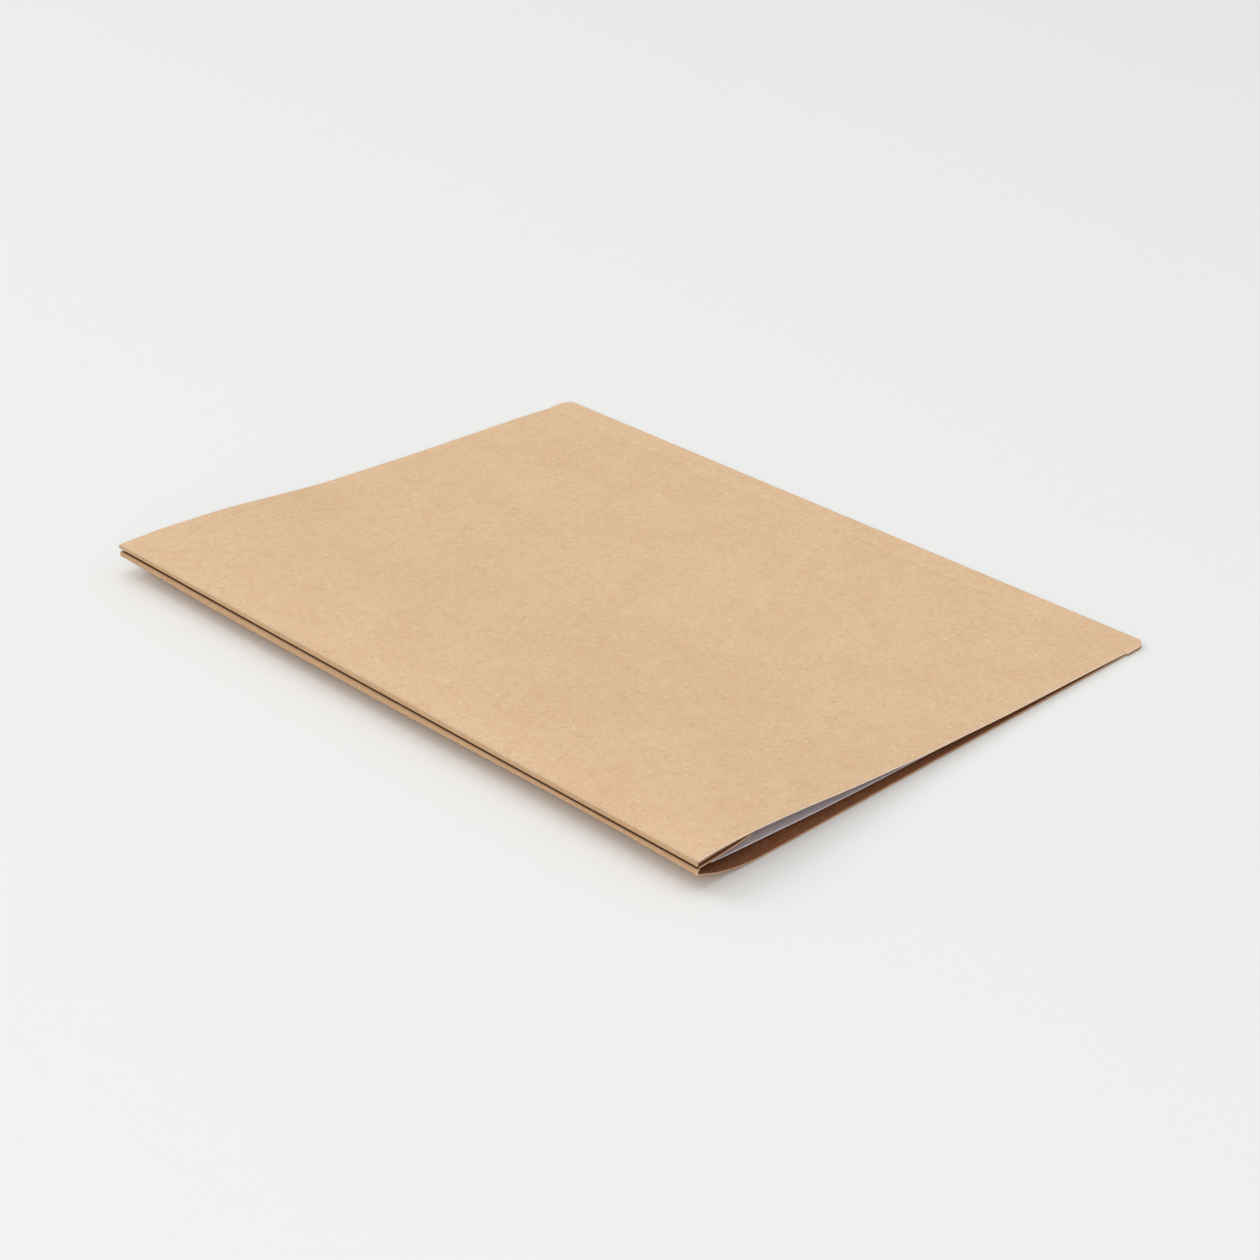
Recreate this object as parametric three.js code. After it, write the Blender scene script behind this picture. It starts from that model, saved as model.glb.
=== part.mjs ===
// Slim pocket folder for loose notes, die-cut and folded from kraft card, lying closed.
//
// X runs across the folder: the fore edge is at -X and the spine at +X.
// Y runs along it: the open mouths of the pockets are at -Y and their glued ends at +Y.
// +Z is up, and the origin is the middle of the box's underside, where the folder rests.
// Every panel is a sheet of one thickness laid along a middle surface, so each is written
// as a function of u, the distance in from the fore edge, and of the distance along Y.

import * as THREE from 'three';

// Driving dimensions, in mm
const LENGTH = 124;         // long side of the folder, at the fore edge
const MOUTH_SKEW = 0.8;     // the mouth end isn't cut quite square: it reaches this much further at the spine
const WIDTH = 98.2;         // fore edge to spine fold
const CARD = 0.3;           // thickness of the kraft card
const PAPER = 0.14;         // thickness of the loose note sheet
const STRIP = 4.9;          // width of the creased strip along the spine
const SPINE_HEIGHT = 0.7;   // the two strips pinched together
const CORNER = 2.2;         // rounding of the strips' outer corners
const COVER_INSET = 0.25;   // covers stop this far short of the strips' ends
const CURL = 14;            // the back cover leaves the table this far in from the fore edge
const FLAP = 38;            // how far the pocket flaps reach in from the fore edge
const NOTCH_START = 10.7;   // the flaps' thumb notches begin this far in from the fore edge
const TAB = 12;             // glued tab at a pocket's closed end
const GLUE = 0.1;           // adhesive under a tab
const AIR = 0.12;           // space between cards that lie on each other
const CREASE_GAP = 0.3;     // space between two panels that share a crease
const NOTE_WIDTH = 74;      // loose note sheet
const NOTE_LENGTH = 105;
const NOTE_EDGE = 4;        // the sheet's near edge, in from the fore edge
const NOTE_RECESS = 1.6;    // the sheet's front edge, back from the mouth

const CREASE = WIDTH - STRIP;
const HALF = LENGTH / 2;
const MOUTH = -HALF + COVER_INSET;
const CLOSED_END = HALF - COVER_INSET;
const TAB_FRONT = CLOSED_END - TAB;

// Colours and finishes
const KRAFT = { color: 0xd9b892, roughness: 0.9, metalness: 0 };
const KRAFT_FOLD = { color: 0xe6c9a8, roughness: 0.88, metalness: 0 };
const KRAFT_INSIDE = { color: 0xcfab84, roughness: 0.92, metalness: 0 };
const ADHESIVE = { color: 0xe9dcc0, roughness: 0.45, metalness: 0 };
const WHITE_PAPER = { color: 0xf2f0f3, roughness: 0.85, metalness: 0 };

const folder = new THREE.Group();

// Values from a to b in equal steps.
function steps(a, b, count) {
  return Array.from({ length: count + 1 }, (_, i) => a + (b - a) * i / count);
}

// Where y lies once the mouth end is skewed. The closed end stays square.
function skewed(u, y) {
  return y + MOUTH_SKEW / 2 - MOUTH_SKEW * (u / WIDTH) * (HALF - y) / LENGTH;
}

// A sheet of the given thickness about the middle surface at(p, q), which returns [u, y, z].
// Its faces lie half a thickness to each side, along the surface's normal.
function addSheet(name, finish, thickness, ps, qs, at) {
  const rows = ps.length;
  const columns = qs.length;
  const point = (p, q) => new THREE.Vector3(...at(p, q));
  const slope = (list, i, along) => {
    const before = list[Math.max(i - 1, 0)];
    const after = list[Math.min(i + 1, list.length - 1)];
    return along(after).sub(along(before));
  };
  const positions = [];
  for (const side of [1, -1]) {
    for (let i = 0; i < rows; i++) {
      for (let j = 0; j < columns; j++) {
        const alongP = slope(ps, i, (p) => point(p, qs[j]));
        const alongQ = slope(qs, j, (q) => point(ps[i], q));
        const normal = alongP.cross(alongQ).normalize();
        const corner = point(ps[i], qs[j]).addScaledVector(normal, side * thickness / 2);
        positions.push(corner.x - WIDTH / 2, skewed(corner.x, corner.y), corner.z);
      }
    }
  }
  const faces = [];
  const top = (i, j) => i * columns + j;
  const bottom = (i, j) => rows * columns + top(i, j);
  const quad = (a, b, c, d) => faces.push(a, b, c, a, c, d);
  for (let i = 0; i < rows - 1; i++) {
    for (let j = 0; j < columns - 1; j++) {
      quad(top(i, j), top(i + 1, j), top(i + 1, j + 1), top(i, j + 1));
      quad(bottom(i, j), bottom(i, j + 1), bottom(i + 1, j + 1), bottom(i + 1, j));
    }
    quad(top(i + 1, 0), top(i, 0), bottom(i, 0), bottom(i + 1, 0));
    quad(top(i, columns - 1), top(i + 1, columns - 1), bottom(i + 1, columns - 1), bottom(i, columns - 1));
  }
  for (let j = 0; j < columns - 1; j++) {
    quad(top(0, j), top(0, j + 1), bottom(0, j + 1), bottom(0, j));
    quad(top(rows - 1, j + 1), top(rows - 1, j), bottom(rows - 1, j), bottom(rows - 1, j + 1));
  }
  const geometry = new THREE.BufferGeometry();
  geometry.setAttribute('position', new THREE.Float32BufferAttribute(positions, 3));
  geometry.setIndex(faces);
  geometry.computeVertexNormals();
  const mesh = new THREE.Mesh(geometry, new THREE.MeshStandardMaterial(finish));
  mesh.name = name;
  folder.add(mesh);
  return mesh;
}

// A smooth height curve through [u, z] points, read at any u between the first and the last.
function heightCurve(points) {
  const curve = new THREE.SplineCurve(points.map(([u, z]) => new THREE.Vector2(u, z)));
  const samples = curve.getPoints(240);
  return (u) => {
    const after = Math.max(1, samples.findIndex((s) => s.x >= u));
    const [a, b] = u >= samples[240].x ? [samples[239], samples[240]] : [samples[after - 1], samples[after]];
    return a.y + (b.y - a.y) * (u - a.x) / (b.x - a.x);
  };
}

// --- Back cover: flat on the table, its fore edge curled up by the pull of the folded hem ---

const FOLD_RADIUS = 0.33;                   // middle of the card, at each fore-edge fold
const FOLD_CENTRE = FOLD_RADIUS + CARD / 2;
const PANEL_START = FOLD_CENTRE + 0.3;      // panels begin just past the fold
const BACK_FOLD_LOW = 2.65;                 // middle of the back cover where it meets its fold

function backCoverHeight(u) {
  const rise = Math.max(0, 1 - u / CURL) ** 2.3;
  return CARD / 2 + (BACK_FOLD_LOW + 0.2 - CARD / 2) * rise;
}

const curlSteps = steps(PANEL_START, CURL, 9);
addSheet('back_cover', KRAFT_INSIDE, CARD, [...curlSteps, CREASE - CREASE_GAP / 2],
  steps(MOUTH, CLOSED_END, 1), (u, y) => [u, y, backCoverHeight(u)]);

// --- Front cover: a shallow S, domed over the pockets and flattening towards the spine ---

const FRONT_FOLD_HIGH = 4.85;               // middle of the front cover where it meets its fold
const FRONT_STRIP_HEIGHT = SPINE_HEIGHT - CARD / 2;

const frontCoverHeight = heightCurve([
  [0.5, FRONT_FOLD_HIGH], [7, 5.07], [20, 4.36], [34, 3.1], [48, 2.12], [66, 1.42],
  [CREASE, FRONT_STRIP_HEIGHT],
]);

addSheet('front_cover', KRAFT, CARD, steps(PANEL_START, CREASE - CREASE_GAP / 2, 22),
  steps(MOUTH, CLOSED_END, 1), (u, y) => [u, y, frontCoverHeight(u)]);

// --- Fore-edge folds: half-round bends that join each cover to its pocket flap ---

function addEdgeFold(name, lowHeight) {
  const centre = lowHeight + FOLD_RADIUS;
  const bend = steps(Math.PI / 2, 3 * Math.PI / 2, 8);
  addSheet(name, KRAFT_FOLD, CARD, bend, steps(MOUTH, CLOSED_END, 1), (angle, y) => [
    FOLD_CENTRE + FOLD_RADIUS * Math.cos(angle),
    -y,
    centre + FOLD_RADIUS * Math.sin(angle),
  ]);
}

addEdgeFold('front_edge_fold', FRONT_FOLD_HIGH - 2 * FOLD_RADIUS);
addEdgeFold('back_edge_fold', BACK_FOLD_LOW);

// --- Pocket flaps: open at the mouth, and lower at the closed end, where a tab is under them ---

// How far a flap's mouth edge stands back at u: a quarter round hollowed out of it, which leaves
// the edge at a right angle.
const NOTCH_RADIUS = FLAP - NOTCH_START;

function thumbNotch(u) {
  const left = Math.min(NOTCH_RADIUS, FLAP - u);
  return Math.sqrt(Math.max(0, NOTCH_RADIUS ** 2 - left ** 2));
}

// Moves smoothly from 0 at the fold to 1 where the flap lies along its cover.
function leaveFold(u, reach) {
  const t = Math.min(1, Math.max(0, (u - FOLD_CENTRE) / reach));
  return t * t * (3 - 2 * t);
}

const CARD_STEP = CARD + AIR;               // from one card's middle to the next one's
const FLAP_FOLD_GAP = 2 * FOLD_RADIUS;      // from a cover's middle to its flap's, at the fold
const TAB_STEP = CARD + GLUE + 0.06;        // from a cover's middle to its tab's
const FLAP_OVER_TAB = TAB_STEP + CARD_STEP; // from a cover's middle to its flap's, over the tab
const END_BEND = 0.35;                      // room for the bend between a flap and its tab

const flapSteps = [
  ...steps(PANEL_START, NOTCH_START, 6),
  ...steps(Math.PI / 18, Math.PI / 2, 8).map((a) => FLAP - NOTCH_RADIUS * Math.cos(a)),
];

// Share of the way from the mouth to the closed end.
function along(y) {
  return (y - MOUTH) / (CLOSED_END - MOUTH);
}

function addFlap(name, heightAt) {
  addSheet(name, KRAFT_INSIDE, CARD, flapSteps, steps(0, 1, 4), (u, t) => {
    const front = MOUTH + thumbNotch(u);
    const y = front + (CLOSED_END - END_BEND - front) * t;
    return [u, y, heightAt(u, along(y))];
  });
}

function frontFlapHeight(u, share) {
  const under = CARD_STEP + (FLAP_OVER_TAB - CARD_STEP) * share;
  const settled = leaveFold(u, 6);
  return frontCoverHeight(u) - FLAP_FOLD_GAP * (1 - settled) - under * settled;
}

// The back flap springs up against the front flap at the mouth, and lies on its own tab at the end.
const BACK_FLAP_SHELF = 3.7;                // height of the back flap just in from its fold, at the mouth

function backFlapHeight(u, share) {
  const atFold = BACK_FOLD_LOW + FLAP_FOLD_GAP;
  const ceiling = frontFlapHeight(u, 0) - CARD_STEP;
  const raised = Math.min(ceiling, BACK_FLAP_SHELF + 0.02 * u);
  const mouth = atFold + (raised - atFold) * leaveFold(u, 4);
  const lowered = backCoverHeight(u) + FLAP_OVER_TAB;
  const closed = atFold + (lowered - atFold) * leaveFold(u, 6);
  return mouth + (closed - mouth) * share;
}

addFlap('front_pocket_flap', frontFlapHeight);
addFlap('back_pocket_flap', backFlapHeight);

// --- Tabs: a strip turned back under each flap's closed end and glued to the cover ---

const TAB_START = 8;                        // tabs stop short of the fore-edge folds
const tabSteps = steps(TAB_START, FLAP - 1, 10);

function addTab(owner, coverHeight, direction) {
  addSheet(`${owner}_pocket_tab`, KRAFT_INSIDE, CARD, tabSteps,
    steps(TAB_FRONT, CLOSED_END - END_BEND, 1),
    (u, y) => [u, y, coverHeight(u) + direction * TAB_STEP]);
  const inGlue = steps(TAB_START + 2, FLAP - 3, 9);
  const glueHeight = (CARD + GLUE) / 2 + 0.03;
  addSheet(`${owner}_tab_glue`, ADHESIVE, GLUE, inGlue, steps(TAB_FRONT + 2, CLOSED_END - 2, 1),
    (u, y) => [u, y, coverHeight(u) + direction * glueHeight]);
}

addTab('front', frontCoverHeight, -1);
addTab('back', backCoverHeight, 1);

// --- Spine: two flat strips creased off the covers, joined along their outer edge by a fold ---

const SPINE_RADIUS = SPINE_HEIGHT / 2 - CARD / 2;
const SPINE_AXIS = WIDTH - SPINE_HEIGHT / 2;
const STRIP_END = SPINE_AXIS - SPINE_HEIGHT / 2 - 0.06;   // clear of the fold as the strips turn

// How far a strip's end is drawn in at u by its rounded outer corner.
function cornerCut(u) {
  const past = Math.max(0, u - (STRIP_END - CORNER));
  return CORNER - Math.sqrt(Math.max(0, CORNER ** 2 - past ** 2));
}

const stripSteps = [
  CREASE + CREASE_GAP / 2,
  ...steps(0, Math.PI / 2 - 0.15, 6).map((a) => STRIP_END - CORNER * (1 - Math.sin(a))),
  STRIP_END,
];

function addStrip(name, finish, height) {
  addSheet(name, finish, CARD, stripSteps, steps(-1, 1, 1),
    (u, end) => [u, end * (HALF - cornerCut(u)), height]);
}

addStrip('back_spine_strip', KRAFT_INSIDE, CARD / 2);
addStrip('front_spine_strip', KRAFT, FRONT_STRIP_HEIGHT);

addSheet('spine_fold', KRAFT_FOLD, CARD, steps(-Math.PI / 2, Math.PI / 2, 8),
  steps(CORNER - HALF, HALF - CORNER, 1), (angle, y) => [
    SPINE_AXIS + SPINE_RADIUS * Math.cos(angle),
    -y,
    SPINE_HEIGHT / 2 + SPINE_RADIUS * Math.sin(angle),
  ]);

// --- Note sheet: one loose sheet in the back pocket, bridging the curl at the fore edge ---

const noteFront = heightCurve([
  [NOTE_EDGE, 2.3], [7, 2.02], [10, 1.76], [15, 1.35], [22, 0.88], [30, 0.6], [40, 0.47], [54, 0.43],
  [NOTE_EDGE + NOTE_WIDTH + 1, 0.43],
]);
const NOTE_LIE = (CARD + PAPER) / 2 + 0.06;  // from the back cover's middle to the sheet's, where it lies

const noteSteps = [...steps(NOTE_EDGE, 22, 8), ...steps(25, 43, 6), NOTE_EDGE + NOTE_WIDTH];
const NOTE_START = -HALF + NOTE_RECESS;

addSheet('note_sheet', WHITE_PAPER, PAPER, noteSteps, steps(0, 1, 4), (u, t) => {
  const raised = noteFront(u);
  const lying = backCoverHeight(u) + NOTE_LIE;
  return [u, NOTE_START + NOTE_LENGTH * t, raised + (lying - raised) * t];
});

export default folder;
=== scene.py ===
"""Slim kraft card pocket folder lying closed, with a loose note sheet in its back pocket."""

import bpy
import numpy as np
from mathutils import Matrix, Vector


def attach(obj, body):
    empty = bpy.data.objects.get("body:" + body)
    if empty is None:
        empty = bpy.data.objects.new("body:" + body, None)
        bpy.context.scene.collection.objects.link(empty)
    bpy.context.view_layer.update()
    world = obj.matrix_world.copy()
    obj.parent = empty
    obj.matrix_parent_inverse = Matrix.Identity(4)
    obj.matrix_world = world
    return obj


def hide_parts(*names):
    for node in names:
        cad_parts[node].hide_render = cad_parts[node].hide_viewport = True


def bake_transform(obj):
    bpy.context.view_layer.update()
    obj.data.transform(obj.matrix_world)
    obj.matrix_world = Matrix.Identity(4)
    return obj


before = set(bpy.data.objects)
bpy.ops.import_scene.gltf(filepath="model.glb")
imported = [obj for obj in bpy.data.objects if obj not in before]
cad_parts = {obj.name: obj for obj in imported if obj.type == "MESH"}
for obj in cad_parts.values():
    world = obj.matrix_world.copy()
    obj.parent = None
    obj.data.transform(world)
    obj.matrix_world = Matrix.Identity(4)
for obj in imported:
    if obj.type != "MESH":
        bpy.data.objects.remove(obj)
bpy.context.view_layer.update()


# --- Table and studio ---------------------------------------------------------------------
# A pale seamless table. A wide softbox hangs overhead, a cooler one stands behind on the left, a
# third fills in from the fore edge's side, and the white walls of the room soften the shade.

TABLE_HALF = 1.6
TABLE_DROP = 0.00004
ROOM_LIGHT = 0.475


def make_table():
    """A flat square of side 2 TABLE_HALF just under the object, with a matt off-white finish."""
    around = ((-1, -1), (1, -1), (1, 1), (-1, 1))
    corners = [(x * TABLE_HALF, y * TABLE_HALF, -TABLE_DROP) for x, y in around]
    mesh = bpy.data.meshes.new("table")
    mesh.from_pydata(corners, [], [(0, 1, 2, 3)])
    table = bpy.data.objects.new("table", mesh)
    bpy.context.collection.objects.link(table)
    finish = bpy.data.materials.new("table_white")
    finish.use_nodes = True
    shader = finish.node_tree.nodes["Principled BSDF"]
    shader.inputs["Base Color"].default_value = (0.88, 0.885, 0.875, 1)
    shader.inputs["Roughness"].default_value = 0.75
    shader.inputs["Specular IOR Level"].default_value = 0.25
    mesh.materials.append(finish)


def hang_softbox(name, at, size, power, colour):
    """A square area light that faces the folder."""
    data = bpy.data.lights.new(name, "AREA")
    data.size = size
    data.energy = power
    data.color = colour
    light = bpy.data.objects.new(name, data)
    light.location = at
    light.rotation_euler = Vector(at).to_track_quat("Z", "Y").to_euler()
    bpy.context.collection.objects.link(light)


make_table()
hang_softbox("overhead_softbox", at=(0.05, 0.1, 1.5), size=1.4, power=6.6, colour=(1.0, 0.985, 0.965))
hang_softbox("key_softbox", at=(-0.75, 1.8, 1.45), size=1.3, power=16.7, colour=(0.97, 0.985, 1.0))
hang_softbox("fill_softbox", at=(-1.25, -0.8, 0.7), size=1.2, power=9.6, colour=(1.0, 0.99, 0.98))

room = bpy.data.worlds.new("room")
room.use_nodes = True
room.node_tree.nodes["Background"].inputs["Color"].default_value = (1.0, 1.0, 1.0, 1)
room.node_tree.nodes["Background"].inputs["Strength"].default_value = ROOM_LIGHT
bpy.context.scene.world = room
bpy.context.scene.view_settings.view_transform = "Standard"


# --- Camera -------------------------------------------------------------------------------
# A short telephoto held a little above the folder, over the corner between the fore edge and
# the pockets' mouths, and tipped a degree to one side.

VIEW_AZIMUTH = np.radians(45.99)
VIEW_ELEVATION = np.radians(28.22)
VIEW_ROLL = np.radians(1.31)
VIEW_DISTANCE = 0.4117
VIEW_OFFSET = (-0.00118, 0.00336)
LENS_MM = 76.57
VIEW_AIM = Vector((0, 0.0004, 0))


def place_camera():
    """The camera looks along the azimuth and elevation, is turned about that line by the roll,
    and stands VIEW_DISTANCE back from VIEW_AIM, moved sideways and up by VIEW_OFFSET."""
    ahead = Vector((
        np.sin(VIEW_AZIMUTH) * np.cos(VIEW_ELEVATION),
        np.cos(VIEW_AZIMUTH) * np.cos(VIEW_ELEVATION),
        -np.sin(VIEW_ELEVATION),
    ))
    level = Vector((np.cos(VIEW_AZIMUTH), -np.sin(VIEW_AZIMUTH), 0))
    above = level.cross(ahead)
    right = level * np.cos(VIEW_ROLL) + above * np.sin(VIEW_ROLL)
    up = above * np.cos(VIEW_ROLL) - level * np.sin(VIEW_ROLL)
    data = bpy.data.cameras.new("camera")
    data.sensor_width = 36.0
    data.lens = LENS_MM
    data.clip_start = 0.01
    camera = bpy.data.objects.new("camera", data)
    place = Matrix((right, up, -ahead)).transposed().to_4x4()
    place.translation = VIEW_AIM - ahead * VIEW_DISTANCE - right * VIEW_OFFSET[0] - up * VIEW_OFFSET[1]
    camera.matrix_world = place
    bpy.context.collection.objects.link(camera)
    bpy.context.scene.camera = camera


place_camera()


# --- Front cover --------------------------------------------------------------------------
# The top panel of the one die-cut card: 0.3 mm uncoated kraft, domed over the pocket flaps and
# falling in a shallow S to the score line beside the spine, which its last half millimetre bends over.

MM = 0.001
LENGTH = 124.0
WIDTH = 98.2
MOUTH_SKEW = 0.8
CARD = 0.3
STRIP = 4.9
COVER_INSET = 0.25
SPINE_HEIGHT = 0.7
CREASE = WIDTH - STRIP
MOUTH = -LENGTH / 2 + COVER_INSET
CLOSED_END = LENGTH / 2 - COVER_INSET
STRIP_MIDDLE = SPINE_HEIGHT - CARD / 2
CHAMFER = 0.05

FRONT_FOLD_START = 0.5

MOUTH_PROFILE = [(0.5, 4.82), (3, 4.98), (8, 5.03), (13, 4.8), (20, 4.27), (26, 3.68), (32, 3.1),
                 (38.5, 2.6), (45, 2.12), (54, 1.72), (63, 1.35), (75, 1.02), (87, 0.72),
                 (CREASE, STRIP_MIDDLE)]
END_PROFILE = [(0.5, 4.94), (8, 5.02), (14.5, 4.76), (21, 4.4), (27, 3.82), (34, 3.1), (40.6, 2.52),
               (47.5, 2.19), (54.5, 1.9), (61.6, 1.6), (69, 1.42), (76, 1.2), (84, 1.0),
               (CREASE, STRIP_MIDDLE)]
FORE_EDGE_WAVE = [(0, 0), (0.15, -0.05), (0.3, 0), (0.46, 0.1), (0.64, 0.1), (0.83, -0.02), (1, 0)]
CROWN = 5.07
CROWN_EASE = 0.04
EDGE_REACH = 7
CALM_REACH = 25
SCORE_DEPTH = 0.05
SCORE_WIDTH = 0.3
HANDLING_WAVES = [(0.03, 9.5, 17, 0.6), (0.02, 15, -11.5, 2.1)]
LENGTHWISE_STEPS = 150


def curve_through(points):
    """The natural cubic spline through (x, y) points, as a function of arrays of x: each stretch
    is a cubic, and slopes and bends match where stretches meet. It is held flat past its ends."""
    x, y = np.array(points, float).T
    gap = np.diff(x)
    count = len(x)
    system = np.eye(count)
    right = np.zeros(count)
    for k in range(1, count - 1):
        system[k, k - 1 : k + 2] = gap[k - 1], 2 * (gap[k - 1] + gap[k]), gap[k]
        right[k] = 6 * ((y[k + 1] - y[k]) / gap[k] - (y[k] - y[k - 1]) / gap[k - 1])
    bend = np.linalg.solve(system, right)

    def read(at):
        at = np.clip(at, x[0], x[-1])
        k = np.clip(np.searchsorted(x, at, side="right") - 1, 0, count - 2)
        a, b, h = x[k + 1] - at, at - x[k], gap[k]
        cubic = (bend[k] * a**3 + bend[k + 1] * b**3) / (6 * h)
        return cubic + (y[k] / h - bend[k] * h / 6) * a + (y[k + 1] / h - bend[k + 1] * h / 6) * b

    return read


mouth_profile = curve_through(MOUTH_PROFILE)
end_profile = curve_through(END_PROFILE)
fore_edge_wave = curve_through(FORE_EDGE_WAVE)


def share_along(y):
    """How far along the folder y is: 0 at the pockets' mouths, 1 at their closed ends."""
    return np.clip((y + LENGTH / 2) / LENGTH, 0, 1)


def ease(t):
    """Smooth step: 3 t squared less 2 t cubed, on t held between 0 and 1."""
    t = np.clip(t, 0, 1)
    return t * t * (3 - 2 * t)


def score_dip(u):
    """A score line is a pressed groove: a bell curve SCORE_DEPTH deep at the crease."""
    return -SCORE_DEPTH * np.exp(-(((u - CREASE) / SCORE_WIDTH) ** 2))


def slow_waves(u, y):
    """Long crossing sine waves, the slight unevenness of card that has been handled. Each has its
    height, how slowly it runs across and along the cover, and its phase."""
    return sum(
        height * np.sin(u / across + y / along + phase) for height, across, along, phase in HANDLING_WAVES
    )


def front_cover_height(u, y):
    """Middle of the front card: the mouth's profile passing into the closed end's, with the fore
    edge's own wave near it, slow waves that die out at the spine, and the score line's groove.
    Near CROWN the height levels off by a soft minimum, as card pressed by a stack does."""
    s = share_along(y)
    profile = mouth_profile(u) + (end_profile(u) - mouth_profile(u)) * ease(s)
    near_edge = np.exp(-((u / EDGE_REACH) ** 2))
    calm = np.clip((CREASE - u) / CALM_REACH, 0, 1) * (1 - near_edge)
    height = profile + fore_edge_wave(s) * near_edge + slow_waves(u, y) * calm + score_dip(u)
    return CROWN - CROWN_EASE * np.logaddexp(0, (CROWN - height) / CROWN_EASE)


def skewed(u, y):
    """Where y lies once the mouth end is skewed: it reaches MOUTH_SKEW further at the spine than at
    the fore edge, in proportion to u, and the closed end stays square. The box keeps its middle."""
    return y + MOUTH_SKEW / 2 - MOUTH_SKEW * (u / WIDTH) * (LENGTH / 2 - y) / LENGTH


def evenly(a, b, count, snug=0.07):
    """Values from a to b in equal steps, with one more close inside each end to keep edges crisp."""
    near = snug * np.sign(b - a)
    middle = np.linspace(a, b, count + 1)[1:-1]
    return np.concatenate(([a, a + near], middle, [b - near, b]))


SHARP = np.radians(50)


def sheet(name, p, q, middle, thickness, upper_finish, lower_finish, wear_highlight_shade_of=None, joined=(False, False)):
    """A thin sheet about the middle surface middle(P, Q), which gives u, y and z in mm.
    Each face lies half a thickness along the surface's normal, the cross product of its two
    slopes. The border is drawn in by CHAMFER on both faces and closed by a rim of three bands.
    joined says whether the first and last p run on into another panel, and so have no chamfer.
    The rim and the upper face share a finish, and the lower face has its own. The point attribute
    cut_edge is 1 on the rim; the fold attribute, above 0 for rubbing wear with a painted highlight
    and below 0 for painted shade, is worked out from (P, Q) by the function given for it."""
    grid_p, grid_q = np.meshgrid(p, q, indexing="ij")
    u, y, z = middle(grid_p, grid_q)
    centre = np.stack([u - WIDTH / 2, skewed(u, y), z], axis=-1)
    slope_p = np.gradient(centre, axis=0)
    slope_q = np.gradient(centre, axis=1)
    normal = np.cross(slope_p, slope_q)
    normal /= np.linalg.norm(normal, axis=-1, keepdims=True)
    unit_p = slope_p / np.linalg.norm(slope_p, axis=-1, keepdims=True)
    unit_q = slope_q / np.linalg.norm(slope_q, axis=-1, keepdims=True)
    outward = np.zeros_like(centre)
    outward[0] -= unit_p[0] * (not joined[0])
    outward[-1] += unit_p[-1] * (not joined[1])
    outward[:, 0] -= unit_q[:, 0]
    outward[:, -1] += unit_q[:, -1]
    bevel = min(CHAMFER, thickness / 3)
    half = thickness / 2
    upper = centre + normal * half - outward * bevel
    lower = centre - normal * half - outward * bevel
    rows, columns = grid_p.shape
    index = np.arange(rows * columns).reshape(rows, columns)
    ring = np.concatenate([index[:, 0], index[-1, 1:], index[-2::-1, -1], index[0, -2:0:-1]])
    rim_high = (centre + normal * (half - bevel)).reshape(-1, 3)[ring]
    rim_low = (centre - normal * (half - bevel)).reshape(-1, 3)[ring]
    points = np.concatenate([upper.reshape(-1, 3), lower.reshape(-1, 3), rim_high, rim_low]) * MM

    a, b, c, d = index[:-1, :-1], index[1:, :-1], index[1:, 1:], index[:-1, 1:]
    top_faces = np.stack([a, b, c, d], axis=-1).reshape(-1, 4)
    bottom_faces = top_faces[:, ::-1] + rows * columns
    after = np.roll(np.arange(len(ring)), -1)
    first_rim = 2 * rows * columns
    rim = np.arange(len(ring)) + first_rim
    loops = [ring, rim, rim + len(ring), ring + rows * columns]
    bands = [np.stack([one, two, two[after], one[after]], axis=-1) for one, two in zip(loops, loops[1:])]
    faces = np.concatenate([top_faces, bottom_faces, *bands])
    face_finish = np.zeros(len(faces), np.int32)
    face_finish[len(top_faces) : 2 * len(top_faces)] = 1

    mesh = bpy.data.meshes.new(name)
    mesh.from_pydata(points.tolist(), [], faces.tolist())
    on_rim = np.zeros(len(points), np.float32)
    on_rim[first_rim:] = 1
    mesh.attributes.new("cut_edge", "FLOAT", "POINT").data.foreach_set("value", on_rim)
    wear_highlight_shade = np.zeros(len(points), np.float32)
    if wear_highlight_shade_of is not None:
        on_face = wear_highlight_shade_of(grid_p, grid_q).reshape(-1)
        wear_highlight_shade = np.concatenate([on_face, on_face, on_face[ring], on_face[ring]]).astype(np.float32)
    mesh.attributes.new("fold_wear_highlight_shade", "FLOAT", "POINT").data.foreach_set("value", wear_highlight_shade)
    mesh.materials.append(upper_finish)
    mesh.materials.append(lower_finish)
    mesh.polygons.foreach_set("material_index", face_finish)
    mesh.polygons.foreach_set("use_smooth", np.ones(len(faces), bool))
    mesh.update()
    mesh.set_sharp_from_angle(angle=SHARP)
    piece = bpy.data.objects.new(name, mesh)
    bpy.context.collection.objects.link(piece)
    return piece


class Amount:
    """A number that changes over a surface, held as a shader socket. Sums on it add Math nodes."""

    def __init__(self, finish, socket):
        self.finish = finish
        self.socket = socket

    def sum(self, operation, *values):
        return self.finish.node("ShaderNodeMath", {"operation": operation}, dict(enumerate(values)))

    def __add__(self, other):
        return self.sum("ADD", self, other)

    def __sub__(self, other):
        return self.sum("SUBTRACT", self, other)

    def __rsub__(self, other):
        return self.sum("SUBTRACT", other, self)

    def __mul__(self, other):
        return self.sum("MULTIPLY", self, other)

    __radd__ = __add__
    __rmul__ = __mul__

    def beside(self, output):
        """Another output of the same node."""
        return Amount(self.finish, self.socket.node.outputs[output])

    def between(self, low, high):
        """0 below low, 1 above high, and a smooth step from one to the other."""
        settings = {"interpolation_type": "SMOOTHSTEP"}
        inputs = {"Value": self, "From Min": low, "From Max": high}
        return self.finish.node("ShaderNodeMapRange", settings, inputs)


FIBRE_DEPTH = 0.3


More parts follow.
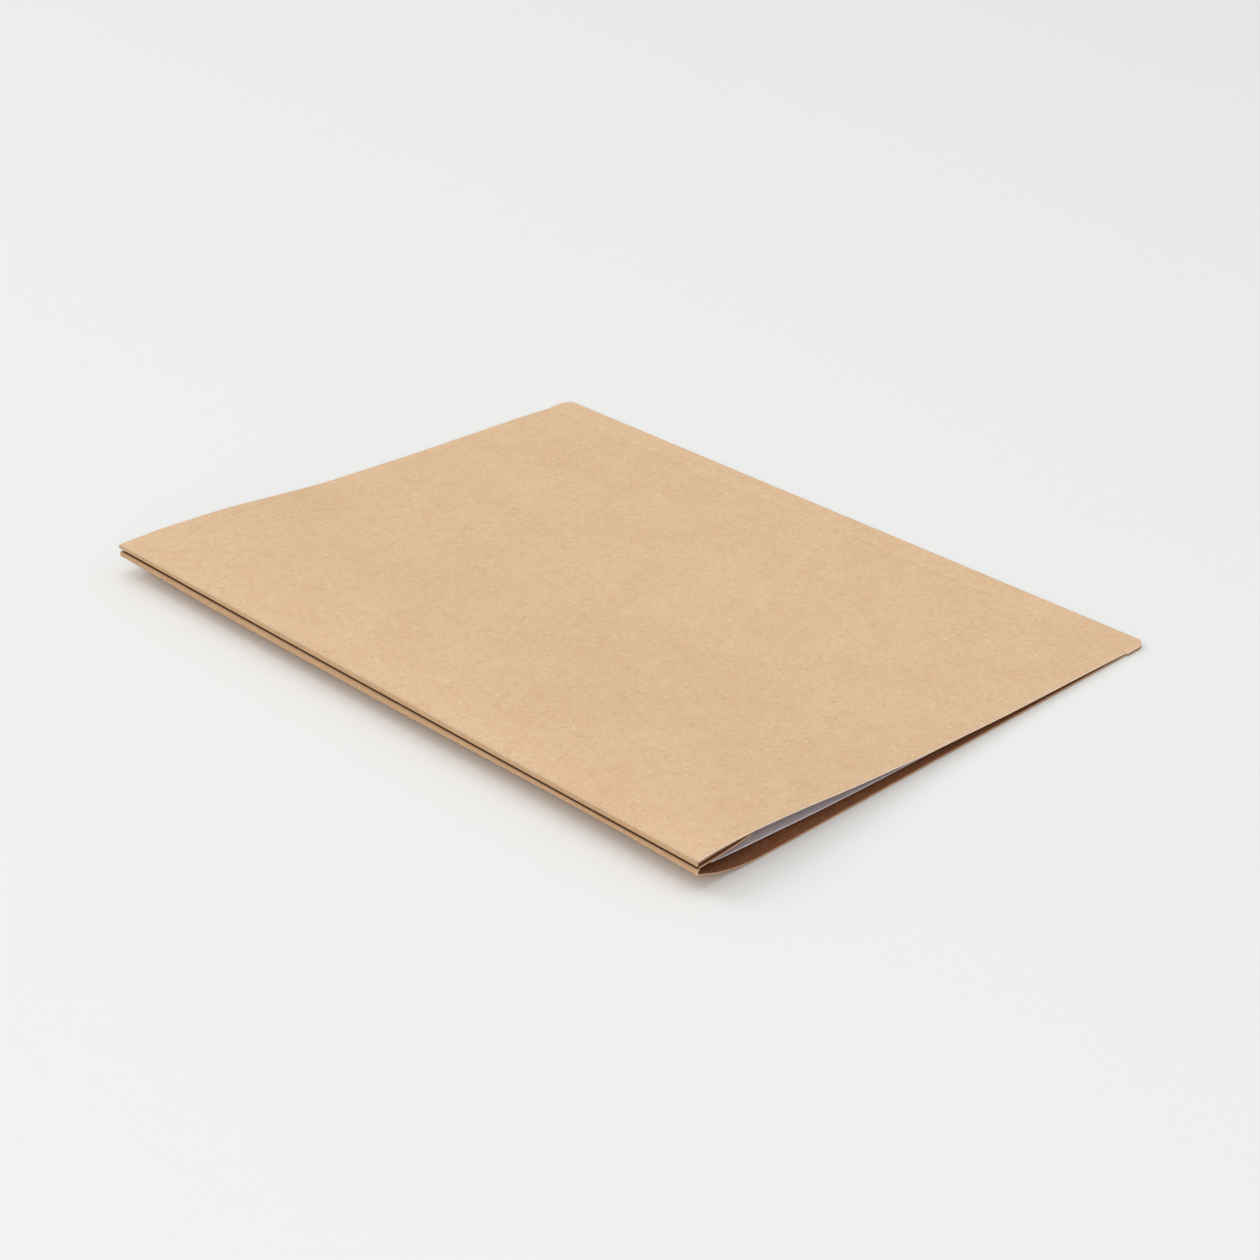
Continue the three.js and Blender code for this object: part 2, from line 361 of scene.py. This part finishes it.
class Finish:
    """One material: a Principled shader, and the nodes that feed it."""

    def __init__(self, name, roughness, gloss):
        self.material = bpy.data.materials.new(name)
        self.material.use_nodes = True
        self.tree = self.material.node_tree
        self.shader = self.tree.nodes["Principled BSDF"]
        self.shader.inputs["Roughness"].default_value = roughness
        self.shader.inputs["Specular IOR Level"].default_value = gloss
        self.place = self.node("ShaderNodeTexCoord", output="Object")

    def node(self, kind, settings=None, inputs=None, output=0):
        """Adds a node, gives it its settings and its sockets' values or links, returns one output."""
        made = self.tree.nodes.new(kind)
        for key, value in (settings or {}).items():
            setattr(made, key, value)
        for key, value in (inputs or {}).items():
            if isinstance(value, Amount):
                self.tree.links.new(value.socket, made.inputs[key])
            else:
                made.inputs[key].default_value = value
        return Amount(self, made.outputs[output])

    def feed(self, name, value):
        self.tree.links.new(value.socket, self.shader.inputs[name])

    def mark(self, attribute):
        return self.node("ShaderNodeAttribute", {"attribute_name": attribute}, output="Fac")

    def cloud(self, scale, detail=2.0, place=None, rough=0.5):
        """Soft noise between 0 and 1 whose lumps are about 1 / scale metres across."""
        inputs = {"Vector": place or self.place, "Scale": scale, "Detail": detail, "Roughness": rough}
        return self.node("ShaderNodeTexNoise", {}, inputs)

    def turned(self, angle, stretch, shift=0.0):
        """Object coordinates turned about Z by angle, squeezed across by stretch and drawn out in
        height, so that a fibre lies in the sheet."""
        inputs = {
            "Vector": self.place,
            "Rotation": (0, 0, angle),
            "Scale": (1, stretch, FIBRE_DEPTH),
            "Location": (shift, 0, 0),
        }
        return self.node("ShaderNodeMapping", {}, inputs)

    def blend_colour(self, factor, one, two):
        """Mixes two colours; factor 0 gives one and 1 gives two."""
        return self.node("ShaderNodeMix", {"data_type": "RGBA"}, {0: factor, 6: one, 7: two}, output=2)

    def raise_surface(self, height, strength, depth):
        """A Bump node: height in parts of depth, in metres."""
        inputs = {"Height": height, "Strength": strength, "Distance": depth}
        self.feed("Normal", self.node("ShaderNodeBump", {}, inputs))


FIBRE_CURVE = 0.0012
DARK_SPECKS = [
    (0.9, 0.0023, 2.6, 0.19, 0.42, 0.0),
    (-0.5, 0.0016, 2.2, 0.18, 0.38, 0.013),
    (-1.3, 0.0031, 3.4, 0.17, 0.4, 0.031),
]
PALE_STROKES = [
    (0.3, 0.0021, 3.0, 0.22, 0.5, 0.047),
    (-0.95, 0.0028, 3.6, 0.2, 0.5, 0.071),
    (1.5, 0.0016, 2.6, 0.2, 0.5, 0.087),
]
SPECK_BROWN = (0.36, 0.21, 0.11, 1)
STROKE_CREAM = (0.97, 0.79, 0.6, 1)
GRAIN_BROWN = (0.5, 0.31, 0.17, 1)
# Rubbing wear together with a painted highlight: the pale cream on the folds' crowns.
RUBBED_HIGHLIGHT_CREAM = (0.97, 0.82, 0.67, 1)
# Painted shade: the near-black brown darkens the folds' lips towards the slit.
SLIT_SHADE_BROWN = (0.1, 0.045, 0.02, 1)
SHARE_BLUR = 0.03


def fibres(finish, angle, cell, slimness, size, share, shift):
    """Short curved fibres near one angle: long thin Voronoi cells pulled about by noise, each with a
    fleck at its centre, kept only in the given share of the cells. Returns 1 on a fleck."""
    pull = finish.cloud(700, 1).beside("Color")
    curve = {0: pull, 1: (FIBRE_CURVE,) * 3, 2: finish.turned(angle, slimness, shift)}
    bent = finish.node("ShaderNodeVectorMath", {"operation": "MULTIPLY_ADD"}, curve)
    inputs = {"Vector": bent, "Scale": 1 / cell, "Randomness": 1.0}
    distance = finish.node("ShaderNodeTexVoronoi", {"feature": "F1"}, inputs)
    chosen = finish.node("ShaderNodeSeparateColor", {}, {0: distance.beside("Color")})
    near_centre = 1 - distance.between(size * 0.5, size)
    return near_centre * (1 - chosen.between(share - SHARE_BLUR, share + SHARE_BLUR))


def scattered(finish, kinds):
    """The sum of several kinds of fibre."""
    total = fibres(finish, *kinds[0])
    for kind in kinds[1:]:
        total = total + fibres(finish, *kind)
    return total


def kraft_card(name, light, dark, cut_light, cut_dark, flecks=1.0, gloss=0.35):
    """Uncoated brown kraft card. Clouds of tone a millimetre or two across, dark specks and pale
    fibre strokes at several angles, a paper grain, a fibrous cut edge, and folds that are rubbed
    pale with a painted highlight where the fold attribute is above 0, and darkened by painted shade
    where it is below."""
    finish = Finish(name, roughness=0.8, gloss=gloss)
    clouds = 0.25 * finish.cloud(80, 2) + 0.3 * finish.cloud(430, 3) + 0.45 * finish.cloud(1100, 3)
    tone = finish.blend_colour(clouds.between(0.28, 0.72), (*dark, 1), (*light, 1))
    specks = scattered(finish, DARK_SPECKS)
    strokes = scattered(finish, PALE_STROKES)
    tone = finish.blend_colour(specks * (0.27 * flecks), tone, SPECK_BROWN)
    tone = finish.blend_colour(strokes * (0.36 * flecks), tone, STROKE_CREAM)
    grain = finish.cloud(2400, 4, rough=0.7)
    tone = finish.blend_colour(grain.between(0.38, 0.68) * 0.18, tone, GRAIN_BROWN)
    # Folds: pale above 0 is rubbing wear with a painted highlight on the crown; dark below 0 is painted
    # shade towards the slit.
    wear_highlight_shade = finish.mark("fold_wear_highlight_shade")
    rubbed_highlight = wear_highlight_shade.between(0, 1) * (0.6 + 0.4 * finish.cloud(900, 3))
    tone = finish.blend_colour(rubbed_highlight * 0.85, tone, RUBBED_HIGHLIGHT_CREAM)
    tone = finish.blend_colour((0 - wear_highlight_shade).between(0, 1), tone, SLIT_SHADE_BROWN)
    torn = finish.cloud(5200, 3)
    edge_tone = finish.blend_colour(torn.between(0.3, 0.7), (*cut_dark, 1), (*cut_light, 1))
    tone = finish.blend_colour(finish.mark("cut_edge") * 0.95, tone, edge_tone)
    finish.feed("Base Color", tone)
    lumps = 0.35 * finish.cloud(1100, 3) + 0.5 * grain + 0.2 * flecks * strokes - 0.15 * flecks * specks
    finish.raise_surface(lumps, 0.7, 0.0001)
    return finish.material


# Its pale cut edge is partly the paler cut fibres of kraft and partly a painted highlight that brightens
# the card's edges.
kraft_outside = kraft_card(
    "kraft_outside",
    light=(0.81, 0.575, 0.365),
    dark=(0.73, 0.485, 0.29),
    cut_light=(0.97, 0.8, 0.63),
    cut_dark=(0.86, 0.66, 0.48),
)
# Painted shade: a much darker, redder copy of the kraft for the card's inner faces, flaps and tabs,
# standing in for the shade inside the pockets and between the layers.
kraft_inside_shaded = kraft_card(
    "kraft_inside_shaded",
    light=(0.3, 0.118, 0.054),
    dark=(0.24, 0.088, 0.038),
    cut_light=(0.6, 0.4, 0.27),
    cut_dark=(0.42, 0.25, 0.15),
    flecks=0.25,
    gloss=0.2,
)
# Painted shade: a darker copy of the outside kraft for the folds' outer faces and the back cover's and back
# strip's undersides, which face sideways and down and so are shaded.
kraft_hem_shaded = kraft_card(
    "kraft_hem_shaded",
    light=(0.57, 0.365, 0.215),
    dark=(0.5, 0.305, 0.17),
    cut_light=(0.75, 0.53, 0.37),
    cut_dark=(0.6, 0.4, 0.25),
    flecks=0.35,
    gloss=0.15,
)

front_cover_card = sheet(
    "front_cover_card",
    evenly(0.5, CREASE, 190),
    evenly(MOUTH, CLOSED_END, LENGTHWISE_STEPS),
    lambda u, y: (u, y, front_cover_height(u, y)),
    CARD,
    kraft_outside,
    kraft_inside_shaded,
    joined=(True, True),
)
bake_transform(front_cover_card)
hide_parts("front_cover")


# --- Back cover ---------------------------------------------------------------------------
# The bottom panel of the same card. It lies flat on the table, and the pull of its folded hem
# curls the last 14 mm up off it, lowest half way along.

CURL = 14.0
BACK_EDGE_HEIGHTS = [(0, 2.72), (0.14, 2.98), (0.3, 2.9), (0.46, 2.66), (0.64, 2.6), (0.83, 2.7),
                     (0.97, 3.05), (1, 3.08)]
BACK_CURL_START = 0.57
CURL_POWER = 2.25
DENTS = [(0.05, 7.5, 0.5, 1.5, 1.6), (-0.05, 4.2, 0.6, 1.0, 1.0)]
back_edge_height = curve_through(BACK_EDGE_HEIGHTS)


def back_cover_height(u, y):
    """Middle of the back card: half its thickness over the flat, and over the curl a power curve
    of the distance left to its start, scaled to reach the fore edge's height."""
    left = np.clip((CURL - u) / (CURL - BACK_CURL_START), 0, 1)
    return CARD / 2 + (back_edge_height(share_along(y)) - CARD / 2) * left**CURL_POWER


def back_cover_middle(u, y):
    """The back cover's middle surface, with shallow handling dents by the mouth's outer corner: bell
    curves, each with its height, its u and reach across, and its distance in and reach along."""
    dents = sum(
        height * np.exp(-(((u - at) / across) ** 2 + ((y - MOUTH - inward) / along) ** 2))
        for height, at, across, inward, along in DENTS
    )
    return u, y, back_cover_height(u, y) + dents


back_cover_card = sheet(
    "back_cover_card",
    np.concatenate([evenly(BACK_CURL_START, CURL, 60), evenly(CURL, CREASE, 90)[1:]]),
    evenly(MOUTH, CLOSED_END, LENGTHWISE_STEPS),
    back_cover_middle,
    CARD,
    kraft_inside_shaded,
    kraft_hem_shaded,
    joined=(True, True),
)
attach(back_cover_card, "back_cover")
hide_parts("back_cover")


# --- Fore-edge folds ----------------------------------------------------------------------
# Where each cover is folded in on itself for its pocket flap, the card turns a half round. The
# two hems lie one on the other with a dark slit between them.

SLIT_HEIGHTS = [(0, 3.86), (0.14, 3.86), (0.3, 3.87), (0.46, 3.93), (0.64, 3.95), (0.83, 4.03),
                (0.97, 4.12), (1, 4.13)]
SLIT = 0.46
slit_height = curve_through(SLIT_HEIGHTS)


PRESSED = 2 / 2.7
RIDGE_WIDTH = 0.14
FOLD_STEPS = 44


def pressed(t):
    """A circle's sine or cosine t made that of a superellipse of power 2.7, as a pressed fold is."""
    return np.sign(t) * np.abs(t) ** PRESSED


def front_fold_radius(y):
    """Half the height from the slit to the front cover, to the card's middle."""
    low = slit_height(share_along(y)) + SLIT / 2 + CARD / 2
    return (front_cover_height(FRONT_FOLD_START, y) - low) / 2


BACK_FOLD_END = np.radians(246)


def back_fold_radius(y):
    """The back fold turns from straight up to 246 degrees, where it meets the slope of the curl."""
    high = slit_height(share_along(y)) - SLIT / 2 - CARD / 2
    return (high - back_edge_height(share_along(y))) / (1 - pressed(np.sin(BACK_FOLD_END)))


def front_fold_middle(angle, y):
    """A pressed arc of the fold's radius about a centre under the front cover's near edge."""
    radius = front_fold_radius(y)
    centre = front_cover_height(FRONT_FOLD_START, y) - radius
    return FRONT_FOLD_START + radius * pressed(np.cos(angle)), y, centre + radius * pressed(np.sin(angle))


def back_fold_middle(angle, y):
    """A pressed arc of the fold's radius that ends where the back cover begins."""
    radius = back_fold_radius(y)
    centre_u = BACK_CURL_START - radius * pressed(np.cos(BACK_FOLD_END))
    centre_z = back_edge_height(share_along(y)) - radius * pressed(np.sin(BACK_FOLD_END))
    return centre_u + radius * pressed(np.cos(angle)), y, centre_z + radius * pressed(np.sin(angle))


def hem_wear_highlight_shade(ridge, lip, reach):
    """Rubbed pale with a painted highlight where the pressed fold turns from its face to its outer
    flat, a bell curve at the angle ridge, and painted shade towards the slit, a smooth step that
    reaches either side of lip."""

    def wear_highlight_shade(angle, y):
        inwards = np.sign(lip - ridge) * (angle - lip) / reach
        return np.exp(-(((angle - ridge) / RIDGE_WIDTH) ** 2)) - ease((inwards + 1) / 2)

    return wear_highlight_shade


def edge_fold(name, body, node, last_angle, middle, wear_highlight_shade):
    """A pressed half-round bend carried along the fore edge."""
    angles = evenly(last_angle, np.pi / 2, FOLD_STEPS, snug=0.03)
    along = evenly(MOUTH, CLOSED_END, LENGTHWISE_STEPS)
    piece = sheet(name, angles, along, middle, CARD, kraft_hem_shaded, kraft_inside_shaded, wear_highlight_shade, joined=(True, True))
    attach(piece, body)
    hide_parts(node)


edge_fold(
    "front_edge_fold_card",
    "front_cover",
    "front_edge_fold",
    last_angle=np.pi * 1.5,
    middle=front_fold_middle,
    wear_highlight_shade=hem_wear_highlight_shade(ridge=np.radians(106), lip=np.radians(243), reach=0.25),
)
edge_fold(
    "back_edge_fold_card",
    "back_cover",
    "back_edge_fold",
    last_angle=BACK_FOLD_END,
    middle=back_fold_middle,
    wear_highlight_shade=hem_wear_highlight_shade(ridge=np.radians(232), lip=np.radians(116), reach=0.45),
)


# --- Pocket flaps -------------------------------------------------------------------------
# Each cover's flap is folded in to make a pocket that is open at the mouth, with a thumb notch there
# so that a sheet can be gripped. The back flap springs up and leans on the front one at the mouth.

FLAP = 38.0
BACK_FLAP_START = 0.85
NOTCH_START = 10.7
NOTCH_RADIUS = FLAP - NOTCH_START
END_BEND = 0.34
FLAP_SETBACK = 0.3
LEAN_EASE = 0.06
WEDGE = 7.5
FLAP_LIE = 0.315
TAB_LIE = 0.36
TAB_ROOM_FROM = 0.55
TAB_ROOM_OVER = 0.4
TAB_SLACK = 0.05
SPRING = 0.0066
BY_THE_FOLD = 3
FALL_FROM = 0.6
FALL_OVER = 4.5


def thumb_notch(turn):
    """Across and back along a quarter round hollowed out of the flap: 1 less the cosine, and the
    sine, of turn. It leaves the mouth edge at a right angle."""
    return NOTCH_RADIUS * (1 - np.cos(turn)), NOTCH_RADIUS * np.sin(turn)


def front_flap_height(u, y):
    """Under the front cover: a fold's width below it at the fold, close to it from 7 mm in, and
    lower towards the closed end, where the tab lies between them."""
    s = share_along(y)
    settled = FLAP_LIE + TAB_LIE * ease((s - TAB_ROOM_FROM) / TAB_ROOM_OVER)
    at_fold = 2 * front_fold_radius(y)
    drop = (at_fold - settled) * np.exp(-(((u - FRONT_FOLD_START) / WEDGE) ** 2))
    return front_cover_height(u, y) - settled - drop


def back_flap_height(u, y):
    """At the mouth it rises from its fold as a parabola until it meets the front flap, and runs on
    close under it. At the closed end it lies on its tab on the back cover."""
    s = share_along(y)
    at_fold = slit_height(s) - SLIT / 2 - CARD / 2
    rising = at_fold + SPRING * u**2
    ceiling = front_flap_height(u, y) - FLAP_LIE
    ceiling = np.minimum(ceiling, front_cover_height(u, y) - 2 * FLAP_LIE)
    raised = ceiling - LEAN_EASE * np.logaddexp(0, (ceiling - rising) / LEAN_EASE)
    raised = np.where(u < BY_THE_FOLD, np.minimum(raised, rising), raised)
    lying = back_cover_height(u, y) + 2 * FLAP_LIE + TAB_SLACK
    lowered = lying + (at_fold - lying) * np.exp(-(((u - FALL_FROM) / FALL_OVER) ** 2))
    return raised + (lowered - raised) * ease(s)


def pocket_flap(name, body, node, start, height):
    """A panel from its fold to FLAP, whose mouth edge follows the thumb notch."""
    straight = evenly(start, NOTCH_START, 50)[:-2]
    notch_across, notch_back = thumb_notch(np.linspace(0, np.pi / 2, 60))
    across = np.concatenate([straight, NOTCH_START + notch_across])
    back = np.concatenate([0 * straight, notch_back])

    def middle(step, lengthwise):
        u = across[step.astype(int)]
        front = MOUTH + FLAP_SETBACK + back[step.astype(int)]
        y = front + (CLOSED_END - END_BEND - front) * lengthwise
        return u, y, height(u, y)

    steps = np.arange(len(across))
    lengthwise = evenly(0, 1, 110, snug=0.0007)
    # Both faces of each flap take the dark inside copy of the kraft, so the flaps carry painted shade.
    piece = sheet(name, steps, lengthwise, middle, CARD, kraft_inside_shaded, kraft_inside_shaded, joined=(True, False))
    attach(piece, body)
    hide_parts(node)


pocket_flap(
    "front_pocket_flap_card",
    "front_cover",
    "front_pocket_flap",
    start=FRONT_FOLD_START,
    height=front_flap_height,
)
pocket_flap(
    "back_pocket_flap_card",
    "back_cover",
    "back_pocket_flap",
    start=BACK_FLAP_START,
    height=back_flap_height,
)


# --- Pocket tabs and their glue -----------------------------------------------------------
# At the closed end each flap carries a narrow tab. It turns back under the flap in a tight half
# round and is stuck to the inside of the cover with a film of glue.

TAB = 12.0
TAB_START = 8.0
TAB_STOP = 37.0
GLUE_FILM = 0.06
GLUE_MARGIN = 2


def pocket_tab(name, body, node, cover_height, flap_height, side):
    """A flat run on the cover, then a half round in y and z up to the flap's own end."""

    def middle(u, travel):
        run = CLOSED_END - END_BEND - (CLOSED_END - TAB)
        y = CLOSED_END - TAB + np.minimum(travel, run)
        on_cover = cover_height(u, y) + side * TAB_LIE
        gap = (flap_height(u, CLOSED_END - END_BEND) - on_cover) / 2
        turn = np.clip((travel - run) / (np.pi * END_BEND), 0, 1) * np.pi
        return u, y + 0.5 * END_BEND * np.sin(turn), on_cover + gap * (1 - np.cos(turn))

    turn_start = TAB - END_BEND
    around = np.linspace(turn_start, turn_start + np.pi * END_BEND, 12)
    travel = np.concatenate([evenly(0, turn_start, 20)[:-2], around])
    piece = sheet(name, evenly(TAB_START, TAB_STOP, 40), travel, middle, CARD, kraft_inside_shaded, kraft_inside_shaded)
    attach(piece, body)
    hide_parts(node)


pocket_tab(
    "front_pocket_tab_card",
    "front_cover",
    "front_pocket_tab",
    cover_height=front_cover_height,
    flap_height=front_flap_height,
    side=-1,
)
pocket_tab(
    "back_pocket_tab_card",
    "back_cover",
    "back_pocket_tab",
    cover_height=back_cover_height,
    flap_height=back_flap_height,
    side=1,
)


def dried_glue():
    """A thin amber film, glossy where it pooled and dull where the card drank it."""
    finish = Finish("dried_glue", roughness=0.4, gloss=0.5)
    pools = finish.cloud(300, 3)
    finish.feed("Base Color", finish.blend_colour(pools, (0.72, 0.6, 0.42, 1), (0.86, 0.78, 0.6, 1)))
    finish.feed("Roughness", 0.3 + 0.5 * pools)
    finish.raise_surface(finish.cloud(700, 3), 0.4, 0.00005)
    return finish.material


glue = dried_glue()


def glue_film(name, body, node, cover_height, side):
    """The film lies half way between the cover and the tab, with a wandering outline."""

    def middle(across, lengthwise):
        u = TAB_START + GLUE_MARGIN + (TAB_STOP - TAB_START - 2 * GLUE_MARGIN) * across
        front = CLOSED_END - TAB + GLUE_MARGIN + 0.5 * np.sin(u * 1.3) + 0.3 * np.sin(u * 3.1)
        back = CLOSED_END - GLUE_MARGIN + 0.3 * np.sin(u * 1.9 + 1)
        y = front + (back - front) * lengthwise
        return u, y, cover_height(u, y) + side * TAB_LIE / 2

    piece = sheet(name, np.linspace(0, 1, 60), np.linspace(0, 1, 12), middle, GLUE_FILM, glue, glue)
    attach(piece, body)
    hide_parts(node)


glue_film("front_tab_glue_film", "front_cover", "front_tab_glue", front_cover_height, -1)
glue_film("back_tab_glue_film", "back_cover", "back_tab_glue", back_cover_height, 1)


# --- Spine --------------------------------------------------------------------------------
# Two strips, creased off the covers and pinched together, joined along their outer edge by the
# spine's tight fold. The die rounds their outer corners, and cuts them a hair longer than the covers.

CORNER = 2.2
STRIP_REACH = LENGTH / 2 - 0.02
SPINE_AXIS = WIDTH - SPINE_HEIGHT / 2
SPINE_RADIUS = SPINE_HEIGHT / 2 - CARD / 2


def corner_cut(u):
    """How far a strip's end is drawn in at u by the round at its outer corner."""
    past = np.clip(u - (WIDTH - CORNER), 0, CORNER)
    return CORNER - np.sqrt(np.maximum(CORNER**2 - past**2, 0))


def spine_strip(name, body, node, height, groove, finishes):
    """A flat strip whose ends follow the rounded corners, with the score line's groove beside the cover."""

    def middle(u, end):
        return u, end * (STRIP_REACH - corner_cut(u)), height + groove * score_dip(u)

    flat = evenly(CREASE, WIDTH - CORNER, 26)[:-2]
    across = np.concatenate([flat, evenly(WIDTH - CORNER, SPINE_AXIS, 18)])
    along = evenly(-1, 1, 120, snug=0.001)
    piece = sheet(name, across, along, middle, CARD, *finishes, joined=(True, True))
    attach(piece, body)
    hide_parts(node)


spine_strip(
    "back_spine_strip_card",
    "back_cover",
    "back_spine_strip",
    CARD / 2,
    groove=0,
    finishes=(kraft_inside_shaded, kraft_hem_shaded),
)
spine_strip(
    "front_spine_strip_card",
    "front_strip",
    "front_spine_strip",
    STRIP_MIDDLE,
    groove=1,
    finishes=(kraft_outside, kraft_inside_shaded),
)


def spine_fold_middle(angle, end):
    """A half round about the spine's axis, from the back strip up to the front one."""
    u = SPINE_AXIS + SPINE_RADIUS * np.cos(angle)
    return u, end * (STRIP_REACH - corner_cut(u)), SPINE_HEIGHT / 2 + SPINE_RADIUS * np.sin(angle)


spine_fold_card = sheet(
    "spine_fold_card",
    evenly(np.pi / 2, -np.pi / 2, 14, snug=0.12),
    evenly(-1, 1, 120, snug=0.001)[::-1],
    spine_fold_middle,
    CARD,
    kraft_inside_shaded,
    kraft_outside,
    joined=(True, True),
)
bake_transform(spine_fold_card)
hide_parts("spine_fold")


# --- Note sheet ---------------------------------------------------------------------------
# One loose sheet of white writing paper in the back pocket. It is stiffer than the curl under it,
# so its near edge stands clear of the card by the mouth.

PAPER = 0.12
NOTE_EDGE = 4.4
NOTE_WIDTH = 73.5
NOTE_LENGTH = 104.8
NOTE_START = -LENGTH / 2 + 1.55
NOTE_LIE = 0.3
HIGHEST_CURL = -0.32 * LENGTH
SETTLE_RATE = 1.1
NOTE_PROFILE = [(4, 2.4), (7, 2.16), (10, 1.98), (15, 1.74), (22, 1.36), (30, 1.04),
                (40, 0.78), (54, 0.56), (80, 0.46)]
note_profile = curve_through(NOTE_PROFILE)


def note_height(u, y):
    """At the mouth a springy bridge over the curl. Further in it settles to the height at which it
    can slide out over the curl's highest part."""
    inside = ease((y - NOTE_START) / NOTE_LENGTH * SETTLE_RATE)
    lying = back_cover_height(u, HIGHEST_CURL) + NOTE_LIE
    raised = np.maximum(note_profile(u), lying)
    return raised + (lying - raised) * inside


def writing_paper():
    """White uncoated paper: faint cloudy formation, a fine tooth, and a slightly cool tone."""
    finish = Finish("writing_paper", roughness=0.8, gloss=0.25)
    formation = 0.6 * finish.cloud(260, 3) + 0.4 * finish.cloud(1500, 3)
    thin, thick = (0.92, 0.895, 0.965, 1), (0.95, 0.925, 0.995, 1)
    tone = finish.blend_colour(formation.between(0.3, 0.7), thin, thick)
    finish.feed("Base Color", tone)
    finish.raise_surface(formation, 0.25, 0.00004)
    return finish.material


note_paper = writing_paper()

note_sheet_paper = sheet(
    "note_sheet_paper",
    evenly(NOTE_EDGE, NOTE_EDGE + NOTE_WIDTH, 110),
    evenly(NOTE_START, NOTE_START + NOTE_LENGTH, 90),
    lambda u, y: (u, y, note_height(u, y)),
    PAPER,
    note_paper,
    note_paper,
)
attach(note_sheet_paper, "note_sheet")
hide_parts("note_sheet")
